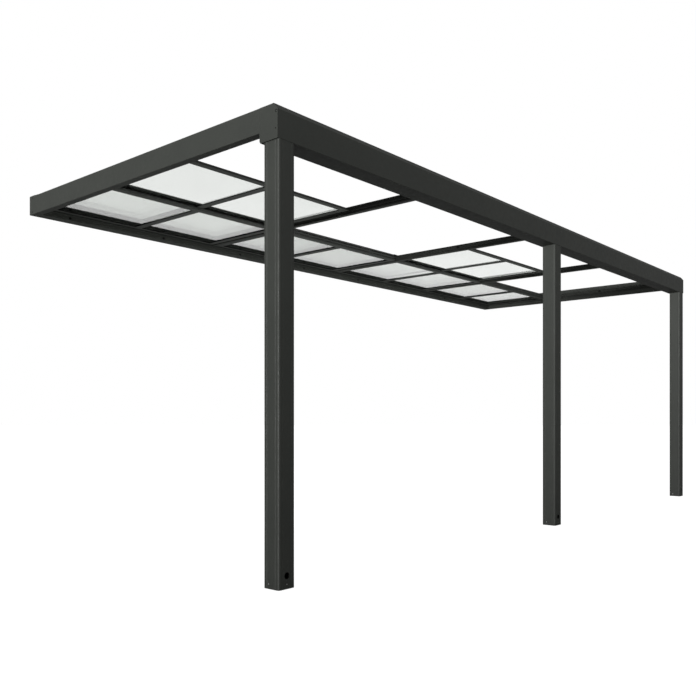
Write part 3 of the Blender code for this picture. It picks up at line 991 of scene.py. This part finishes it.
# %% [markdown]
# ## Stops in the tracks
#
# A panel that is pushed too far would run off its track or knock on the wall
# beam. Rubber blocks in the tracks stop its wheels just before that. Each block
# fills the track between its two flanges and stays behind the flanges' tips, so
# the panel's edge passes it.

# %% Track stops
def block(x0, x1, y0, y1, z0, z1, bevel=0.0015):
    """A box with its four upright edges cut at 45 degrees."""
    front = [(x0, y0 + bevel), (x0 + bevel, y0), (x1 - bevel, y0), (x1, y0 + bevel)]
    back = [(x1, y1 - bevel), (x1 - bevel, y1), (x0 + bevel, y1), (x0, y1 - bevel)]
    points = np.array([(x, y, z) for z in (z0, z1) for x, y in front + back])
    faces = grid_faces(2, 8, wrap_columns=True).tolist()
    return points, faces + [list(range(8))[::-1], list(range(8, 16))]


pitch, flange, depth = 0.0195, 0.003, 0.010  # of the tracks
inset = 0.001  # block behind the flanges' tips
stop_length = 0.020
stop_gap = 0.011  # wheel axle to the block when the panel is at its limit
rear_play = 0.0057  # open panel's back edge in front of the fixed panel's
tips = []
for left_side, right_side in zip(rafters[:-1], rafters[1:]):
    left_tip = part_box(left_side)[1].x - seat_reach
    right_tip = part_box(right_side)[0].x + seat_reach
    tips += [(left_tip - depth, left_tip - inset), (right_tip + inset, right_tip + depth)]
fixed = panel_place("fixed", 1)
panel_length = fixed.back - fixed.front
row_step = panel_length - rail
open_back = fixed.back - rear_play
stops = []
for track, rows in ((0, 2), (1, 1)):
    z0 = roof_base + track * pitch + flange + joint_gap
    z1 = roof_base + (track + 1) * pitch - joint_gap
    rear = open_back - wheel_from_end + stop_gap
    front = fixed.back - rows * row_step - panel_length + wheel_from_end - stop_gap
    for x0, x1 in tips:
        stops.append(block(x0, x1, rear, rear + stop_length, z0, z1))
        stops.append(block(x0, x1, front - stop_length, front, z0, z1))
piece("track_stops", joined(*stops), rubber, smooth=False)
print("stops:", len(stops), "rear at", round(rear, 4), "front at", round(front, 4))

# %% [markdown]
# ## Covers on top of the rafters
#
# Two fixed panels lie on the flanges of one rafter with a slot between them. An
# aluminium cover strip bridges the slot, screwed down every quarter of a metre,
# with a rubber lip along both edges.

# %% Roof covers
strip = [
    (-0.0300, 0.0012),
    (-0.0300, 0.0002),
    (-0.0280, 0.0002),
    (-0.0268, 0.0012),
    (0.0268, 0.0012),
    (0.0280, 0.0002),
    (0.0300, 0.0002),
    (0.0300, 0.0012),
    (0.0240, 0.0034),
    (-0.0240, 0.0034),
]
strip_height = 0.0034
lip = [(-0.0010, 0.0001), (0.0010, 0.0001), (0.0016, 0.0009), (-0.0016, 0.0009)]
lip_side = 0.0255  # to the left and right of the strip's middle
screw_inset = 0.05  # first and last screw to the fixed panel's ends
covers, lips, cover_heads = [], [], []
for name in rafters[1:-1]:
    low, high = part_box(name)
    middle = (low.x + high.x) / 2
    ends = [(middle, fixed.front + 0.001, fixed.top), (middle, fixed.back - 0.004, fixed.top)]
    covers.append(carried(strip, ends, closed=False))
    for side in (-lip_side, lip_side):
        moved = [(x + side, y, z) for x, y, z in ends]
        lips.append(carried(lip, moved, closed=False))
    for y in np.linspace(fixed.front + screw_inset, fixed.back - screw_inset, 4):
        cover_heads.append((middle, y, fixed.top + strip_height))
piece("roof_covers", joined(*covers), frame_coat)
piece("roof_cover_lips", joined(*lips), rubber)
piece("roof_cover_screws", copied(domed_head(0.0045, 0.0024, 0.0016), cover_heads), steel)
print("cover strips:", len(covers), "screws:", len(cover_heads))

# %% [markdown]
# ## Seals at the sides and at the wall
#
# The side strips and the wiper run the whole length of the slots they close.
# The wiper is a thin skirt. Its foot is clipped under the flashing, and its
# lower edge just clears the fixed panels' frames.

# %% Side strips and wall wiper
side_strip = [
    (-0.0022, -0.0100),
    (0.0022, -0.0100),
    (0.0022, -0.0010),
    (0.0010, 0.0006),
    (-0.0022, 0.0010),
]
slot_middle = 0.0025  # panel edge to the middle of the slot beside it
side_seals = []
for edge, hand in ((fixed.left, 1), (panel_place("fixed", 4).right, -1)):
    middle = edge - hand * slot_middle
    profile = [(hand * side, up) for side, up in side_strip]
    path = [(middle, fixed.front, fixed.top), (middle, fixed.back, fixed.top)]
    side_seals.append(carried(profile, path, closed=False))
piece("side_strips", joined(*side_seals), rubber)

flashing_thickness = 0.003
wiper_clearance = 0.0005  # above the fixed panels
wiper_front = 0.020  # in front of the wall beam's cap
web_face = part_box("rafter_left_end")[1].x - seat_reach  # inside of the left end rafter
y = wall_face - wiper_front
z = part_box("wall_beam")[1].z - flashing_thickness - 0.0001
tip = fixed.top + wiper_clearance - z
wiper = [
    (-0.0012, 0.0000),
    (-0.0030, -0.0001),
    (-0.0030, -0.0014),
    (-0.0010, -0.0030),
    (-0.0022, tip),
    (-0.0008, tip),
    (0.0014, -0.0028),
    (0.0030, -0.0014),
    (0.0030, -0.0001),
]
path = [(web_face + 0.001, y, z), (-web_face - 0.001, y, z)]
piece("wall_wiper", carried(wiper, path, closed=False), rubber)
print("side strips:", len(side_seals), "wiper's lower edge at", round(tip + z, 4))

# %% [markdown]
# ## Plugs of the wall anchors
#
# The wall beam is bolted through to the wall. Plugs hide the bolts' holes on its
# front, in the band below the panels.

# %% Anchor plugs
plug = [(0, 0.0015), (0.0060, 0.0014), (0.0088, 0.0009), (0.0095, 0.0002), (0.0095, 0), (0, 0)]
outermost = 2.75  # middle of the cover to the first and the last anchor
anchor_level = fascia_base + 0.016
anchor_xs = np.linspace(-outermost, outermost, 8)
anchors = [(x, wall_face - 0.0001, anchor_level) for x in anchor_xs]
piece("anchor_plugs", copied(facing(turned(plug, 32), "Y", -1), anchors), rubber)
print("plugs:", len(anchors))

# %% [markdown]
# ## Strainers and bolts in the gutter
#
# A dome strainer over each post keeps leaves out of the downpipe, and two bolts
# hold the post. The strainer is made of ribs. Each rib is a small section
# carried along a quarter of an ellipse, with x = r cos t and z = h sin t.

# %% Strainers and bolts
def rib(angle, radius, height):
    """A bar 2.4 by 2 mm along a quarter of an ellipse at one angle."""
    t = np.linspace(0.05, 0.47 * math.pi, 8)
    out = radius * np.cos(t)
    path = np.stack([out * math.cos(angle), out * math.sin(angle), height * np.sin(t)], axis=-1)
    across = (-math.sin(angle), math.cos(angle), 0)
    section = [(-0.0010, -0.0012), (0.0010, -0.0012), (0.0010, 0.0012), (-0.0010, 0.0012)]
    return carried(section, path, closed=False, up=across)


flange_ring = [
    (0.0270, 0.0000),
    (0.0340, 0.0000),
    (0.0340, 0.0016),
    (0.0320, 0.0030),
    (0.0285, 0.0030),
    (0.0270, 0.0016),
    (0.0270, 0.0000),
]
crown = [(0, 0.0300), (0.0050, 0.0296), (0.0066, 0.0284), (0.0066, 0.0268), (0, 0.0268)]
angles = np.linspace(0, 2 * math.pi, 14, endpoint=False)
ribs = [rib(angle, 0.030, 0.029) for angle in angles]
strainer = joined(turned(flange_ring, 40), turned(crown, 24), *ribs)
gutter_wall = 0.0035  # thickness of its floor and inner wall
above_floor = 0.0001
hollow_front = 0.042  # the gutter's front face to its channel
strainer_shift = 0.003  # in front of the channel's middle
gutter_low, gutter_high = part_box("gutter_beam")
gutter_floor = gutter_low.z + gutter_wall + above_floor
channel_y = (front_face + hollow_front + gutter_high.y - gutter_wall) / 2
places = [(outlet[0], channel_y - strainer_shift, gutter_floor) for outlet in outlets]
piece("leaf_strainers", copied(strainer, places), rubber)
hexagon = turned([(0, 0.0045), (0.0060, 0.0045), (0.0070, 0.0038), (0.0070, 0.0008), (0, 0.0008)], 6)
disc = turned([(0, 0.0008), (0.0105, 0.0008), (0.0110, 0.0004), (0.0110, 0), (0, 0)], 28)
bolt_side = 0.046  # post's middle to a bolt
bolts = [(x + side, y, z) for x, y, z in places for side in (-bolt_side, bolt_side)]
piece("post_bolts", copied(joined(hexagon, disc), bolts), steel)
print("strainers:", len(places), "bolts:", len(bolts))
